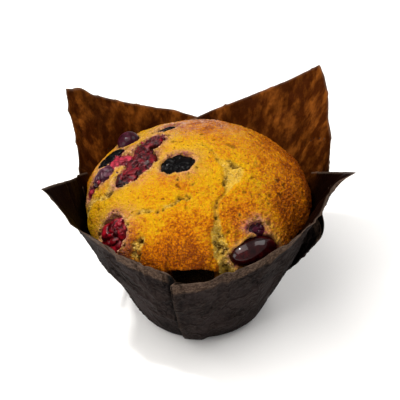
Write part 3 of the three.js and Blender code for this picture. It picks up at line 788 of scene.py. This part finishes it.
crust = Finish("golden_crust", (0.66, 0.3, 0.02), 0.45)
freckle = crust.mottle(1500, 0.36, 0.66, 1.0, 3.0)
patchy = crust.mottle(330, 0.32, 0.68, 1.0, 4.0)
freckled = crust.times(crust.minus(freckle, 0.5), 0.5)
patched = crust.times(crust.minus(patchy, 0.5), 0.3)
shift = crust.plus(freckled, patched)
baked = crust.plus(crust.mark("brown"), shift, clamp=True)
gold = crust.mix(crust.times(baked, 1.7, clamp=True), (0.55, 0.3, 0.003), (0.47, 0.125, 0.0015))
deep_brown = crust.times(crust.minus(baked, 0.5), 2.0, clamp=True)
gold = crust.mix(deep_brown, gold, (0.15, 0.024, 0.001))
pale = crust.mix(freckle, (0.5, 0.28, 0.02), (0.63, 0.44, 0.09))
face = crust.mix(crust.times(crust.mark("crumb"), 0.85), gold, pale)
juice = crust.mix(crust.mottle(420, 0.42, 0.56), (0.47, 0.2, 0.14), (0.2, 0.04, 0.07))
juice = crust.mix(crust.mottle(800, 0.57, 0.64, 1.0, 2.0), juice, (0.045, 0.003, 0.008))
uneven = crust.plus(0.55, crust.times(freckle, 0.5))
stained = crust.times(crust.mark("stain"), uneven, clamp=True)
face = crust.mix(stained, face, juice)
# Painted shade: tiny dark pinholes scattered over the crust, coloured without any hollow.
painted_pinhole_shade = crust.times(crust.mottle(760, 0.625, 0.7, 1.0, 2.0), 0.8)
face = crust.mix(painted_pinhole_shade, face, (0.12, 0.028, 0.002))
# Painted shade in the pits, pores and crumb holes.
face = crust.mix(crust.times(crust.mark("hole"), 0.85, clamp=True), face, (0.05, 0.012, 0.002))
# Painted shadow in the gap behind the front fold.
face = crust.mix(crust.times(crust.mark("shrunk_with_painted_shadow"), 1.8, clamp=True), face, (0.004, 0.0012, 0.0006))
crust.feed(crust.shader.inputs["Base Color"], face)
matt = crust.times(crust.mark("crumb"), 0.35)
buttery = crust.plus(0.19, crust.times(freckle, 0.12))
crust.feed(crust.shader.inputs["Roughness"], crust.plus(matt, buttery))
crust.shader.inputs["Specular IOR Level"].default_value = 0.15
crust.shader.inputs["Specular Tint"].default_value = (1, 0.7, 0.22, 1)
crust.bump(crust.mottle(900, 0, 1, 1.0, 6.0, "Cloud"), 1.0, 0.0021)

cake_faces = [crown_faces, side_faces, foot_faces]
cake = put_mesh("muffin_crust", cake_points, cake_faces, cake_marks, crust.material)
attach(cake, "root")
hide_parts("muffin_body")


# ------------ berries
# Whole berries keep a tight waxy skin with a dull bloom. The burst ones have boiled: the skin is slack and
# folded over wet crimson flesh.

BERRY_LOOK = {  # fold depth, fold size, lumpiness in mm, and the finish
    "berry_round": (0.03, 3.0, 0.1, "bloomed"), "berry_slot": (0.75, 2.0, 0.6, "black"),
    "berry_slit": (0.3, 2.0, 0.3, "black"), "berry_cluster_top": (1.1, 2.0, 0.9, "wet"),
    "berry_cluster_mid": (1.2, 2.2, 1.1, "wet"), "berry_cluster_low": (1.0, 1.8, 0.8, "wet"),
    "berry_dark": (0.45, 2.2, 0.5, "black"), "berry_flesh": (0.6, 1.8, 0.5, "flesh"),
    "berry_purple": (0.4, 1.8, 0.4, "purple"), "berry_edge": (0.35, 1.6, 0.3, "flesh"),
    "berry_burst": (1.0, 2.4, 1.0, "torn"), "berry_oval": (0.06, 4.0, 0.25, "cherry"),
    "berry_small": (0.5, 2.0, 0.4, "bloomed"),
}
# Deep colour, light colour, share of the light one; roughness, coat, the coat's roughness, shine, relief.
BERRY_FINISH = {
    "bloomed": ((0.012, 0.0006, 0.003), (0.042, 0.003, 0.012), 0.6, 0.3, 0.12, 0.16, 0.06, 0.25),
    "purple": ((0.022, 0.002, 0.008), (0.2, 0.075, 0.11), 0.5, 0.3, 0.3, 0.05, 0.06, 0.5),
    "black": ((0.0006, 0.0004, 0.0005), (0.0022, 0.0009, 0.0012), 0.4, 0.3, 0.07, 0.05, 0.02, 0.25),
    "wet": ((0.007, 0.0004, 0.001), (0.165, 0.003, 0.009), 0.5, 0.3, 0.22, 0.05, 0.06, 0.5),
    "torn": ((0.014, 0.0006, 0.001), (0.3, 0.006, 0.014), 0.55, 0.3, 0.22, 0.05, 0.06, 0.5),
    "flesh": ((0.05, 0.001, 0.003), (0.45, 0.03, 0.06), 0.6, 0.3, 0.22, 0.05, 0.06, 0.5),
    "cherry": ((0.006, 0.0004, 0.0008), (0.036, 0.0015, 0.002), 0.5, 0.25, 0.4, 0.05, 0.06, 0.25),
}


def berry_finish(name, deep, light, share, roughness, coat, coat_roughness, shine, relief):
    """Skin or flesh of one kind: two colours in clouds, the deep one again in the folds as painted shade, and
    a wet coat.
    """
    finish = Finish(name, deep, roughness)
    clouds = finish.mottle(420, 0.55 - share * 0.4, 0.75, 1.0, 4.0)
    colour = finish.mix(clouds, deep, light)
    # Painted shade: the grooves of the folds take the deep colour.
    colour = finish.mix(finish.times(finish.mark("fold"), 0.75), colour, deep)
    finish.feed(finish.shader.inputs["Base Color"], colour)
    finish.shader.inputs["Coat Weight"].default_value = coat
    finish.shader.inputs["Coat Roughness"].default_value = coat_roughness
    finish.shader.inputs["Specular IOR Level"].default_value = shine
    finish.bump(finish.mottle(700, 0, 1, 1.0, 3.0, "Cloud"), relief, 0.0004)
    return finish.material


berry_materials = {name: berry_finish(name, *values) for name, values in BERRY_FINISH.items()}


def berry_points(segments, rings):
    """A unit ball as rings of points round its own upright, with a point at each pole, and its faces."""
    lat = np.linspace(-np.pi / 2, np.pi / 2, rings + 2)[1:-1, None]
    lon = np.linspace(0, 2 * np.pi, segments, endpoint=False)[None]
    ball = np.stack([np.cos(lat) * np.cos(lon), np.cos(lat) * np.sin(lon), np.sin(lat) + 0 * lon], axis=-1)
    n = np.arange(segments * rings).reshape(rings, segments)
    m = np.roll(n, -1, axis=1)
    quads = np.stack([n[:-1], m[:-1], m[1:], n[1:]], axis=-1).reshape(-1, 4)
    low, high = segments * rings, segments * rings + 1
    under = np.stack([np.full(segments, low), m[0], n[0]], axis=-1)
    over = np.stack([np.full(segments, high), n[-1], m[-1]], axis=-1)
    return np.vstack([ball.reshape(-1, 3), [[0, 0, -1], [0, 0, 1]]]), [quads, under, over]


ball, ball_faces = berry_points(84, 54)
for seed, (name, (berry_place, sink, half, turn, *_)) in enumerate(BERRIES.items()):
    fold_depth, fold_size, lump, look = BERRY_LOOK[name]
    centre, axes = berry_frame(berry_place, sink, turn)
    plain_berry = ball * half
    if look in ("black", "wet", "torn"):  # slack and flat on top
        plain_berry[:, 2] = np.sign(ball[:, 2]) * np.abs(ball[:, 2]) ** 0.7 * half[2]
    ridge = 1 - np.abs(lattice(plain_berry, fold_size, 40 + seed)) * 2.6
    swell = lump * lattice(plain_berry, fold_size * 1.7, 60 + seed)
    out = swell - fold_depth * np.clip(ridge, 0, 1) ** 1.5
    local = plain_berry + ball * out[:, None]
    if name == "berry_round":  # the dimple where its flower was
        from_dimple = np.hypot(local[:, 0] - 1.5, local[:, 1] + 1.5)
        local[:, 2] -= 0.55 * bell(from_dimple / 0.8) * (local[:, 2] > 0)
    piece = put_mesh(name.replace("berry_", "fruit_"), centre + local @ axes, ball_faces,
                     {"fold": np.clip(ridge, 0, 1)}, berry_materials[look])
    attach(piece, "root")
    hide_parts(name)


# ------------ burst pulp
# Shreds of skin and wet pulp that boiled out of the burst berries and set on the crumb round them, thickest
# between the berries of the cluster. Each is a flattened ball, roughened by a random field.

CAKE_EDGE = 40.5  # mm, no shred lies further out
pulp_ball, pulp_faces = berry_points(14, 9)
pulp_chance = np.random.default_rng(11)
PULP = [  # place in plan, spread along and across it, and how many shreds
    ((-20.6, 1.2), (3.2, 8.5), 34), ((-26.4, -5.2), (3.2, 3.4), 16), ((-30.5, 4.5), (4.6, 3.2), 16),
    ((-30.2, -27.0), (4.4, 3.0), 26), ((-37.5, -4.8), (2.4, 2.6), 10), ((-14.8, 11.5), (2.6, 2.4), 5),
]
pulp_points, pulp_ripe = [], []
for (px, py), (wide, deep), shreds in PULP:
    for shred in range(shreds):
        spot = (px + wide * pulp_chance.normal() * 0.6, py + deep * pulp_chance.normal() * 0.6)
        if math.hypot(*spot) > CAKE_EDGE:
            continue
        size = 0.35 + 0.75 * pulp_chance.random() ** 2
        shape = size * pulp_chance.uniform((0.8, 0.4, 0.3), (2.4, 1.0, 0.7))
        centre, axes = berry_frame(spot, -0.1, 180 * pulp_chance.random())
        rough = 1 + 0.75 * lattice(pulp_ball * 1.6 + 9 * shred, 0.9, 70)
        pulp_points.append(centre + (pulp_ball * shape * rough[:, None]) @ axes)
        pulp_ripe.append(np.full(len(pulp_ball), pulp_chance.random() ** 1.7))
pulp_groups = [faces + len(pulp_ball) * k for k in range(len(pulp_points)) for faces in pulp_faces]

flesh = Finish("burst_pulp", (0.1, 0.004, 0.01), 0.3)
ripe = flesh.mix(flesh.mark("ripe"), (0.01, 0.0005, 0.0016), (0.27, 0.012, 0.025))
flesh.feed(flesh.shader.inputs["Base Color"], ripe)
flesh.shader.inputs["Specular IOR Level"].default_value = 0.08
flesh.shader.inputs["Coat Weight"].default_value = 0.25
flesh.shader.inputs["Coat Roughness"].default_value = 0.08
flesh.bump(flesh.mottle(900, 0, 1, 1.0, 3.0, "Cloud"), 0.4, 0.0004)
pulp = put_mesh("burst_pulp", np.vstack(pulp_points), pulp_groups, {"ripe": np.concatenate(pulp_ripe)},
                flesh.material)
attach(pulp, "root")


# ------------ loose crumb
# Torn crumb that clings in the splits and round the openings: hundreds of lumps under a millimetre across,
# each a squashed and roughened ball of twenty faces.

CRUMBS = 760
chance = np.random.default_rng(7)
golden_ratio = (1 + math.sqrt(5)) / 2

# Its twelve knobs are the corners of three crossed golden rectangles, with a face on each three neighbours.
knobs = np.array([(0, a, b * golden_ratio) for a in (-1, 1) for b in (-1, 1)])
knobs = np.vstack([knobs, knobs[:, [2, 0, 1]], knobs[:, [1, 2, 0]]]) / math.hypot(1, golden_ratio)
apart = np.linalg.norm(knobs[:, None] - knobs[None], axis=-1)
close = (apart > 0.1) & (apart < 1.2)
i, j, k = np.nonzero(close[:, :, None] & close[:, None, :] & close[None])
facets = np.stack([i, j, k], axis=-1)[(i < j) & (j < k)]
normal = np.cross(knobs[facets[:, 1]] - knobs[facets[:, 0]], knobs[facets[:, 2]] - knobs[facets[:, 0]])
inward = np.einsum("ij,ij->i", normal, knobs[facets[:, 0]]) < 0
facets[inward] = facets[inward][:, ::-1]

# The lumps lie where the crumb is torn open, most of them small.
likely = (crust_marks["crumb"].ravel() > 0.6) * (above.ravel() > 0.9)
picked = chance.choice(len(likely), CRUMBS, replace=False, p=likely / likely.sum())
spots = crown.reshape(-1, 3)[picked] + crown_normals.reshape(-1, 3)[picked] * 0.05
sizes = 0.14 + 0.28 * chance.random(CRUMBS) ** 2
lumps = knobs[None] * chance.uniform(0.7, 1.25, (CRUMBS, 12, 1)) * chance.uniform(0.6, 1.2, (CRUMBS, 1, 3))
crumb_points = (spots[:, None] + lumps * sizes[:, None, None]).reshape(-1, 3)
crumb_faces = (facets[None] + 12 * np.arange(CRUMBS)[:, None, None]).reshape(-1, 3)
crumb_stain = np.repeat(crust_marks["stain"].ravel()[picked], 12)

loose = Finish("pale_crumb", (0.74, 0.5, 0.12), 0.75)
tint = loose.mix(loose.mottle(500, 0.35, 0.65), (0.4, 0.21, 0.012), (0.55, 0.38, 0.07))
tint = loose.mix(loose.times(loose.mark("stain"), 0.9, clamp=True), tint, (0.5, 0.2, 0.16))
loose.feed(loose.shader.inputs["Base Color"], tint)
loose.bump(loose.mottle(1500, 0, 1, 1.0, 3.0, "Cloud"), 0.4, 0.0002)
crumbs = put_mesh("loose_crumb", crumb_points, [crumb_faces], {"stain": crumb_stain}, loose.material)
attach(crumbs, "root")
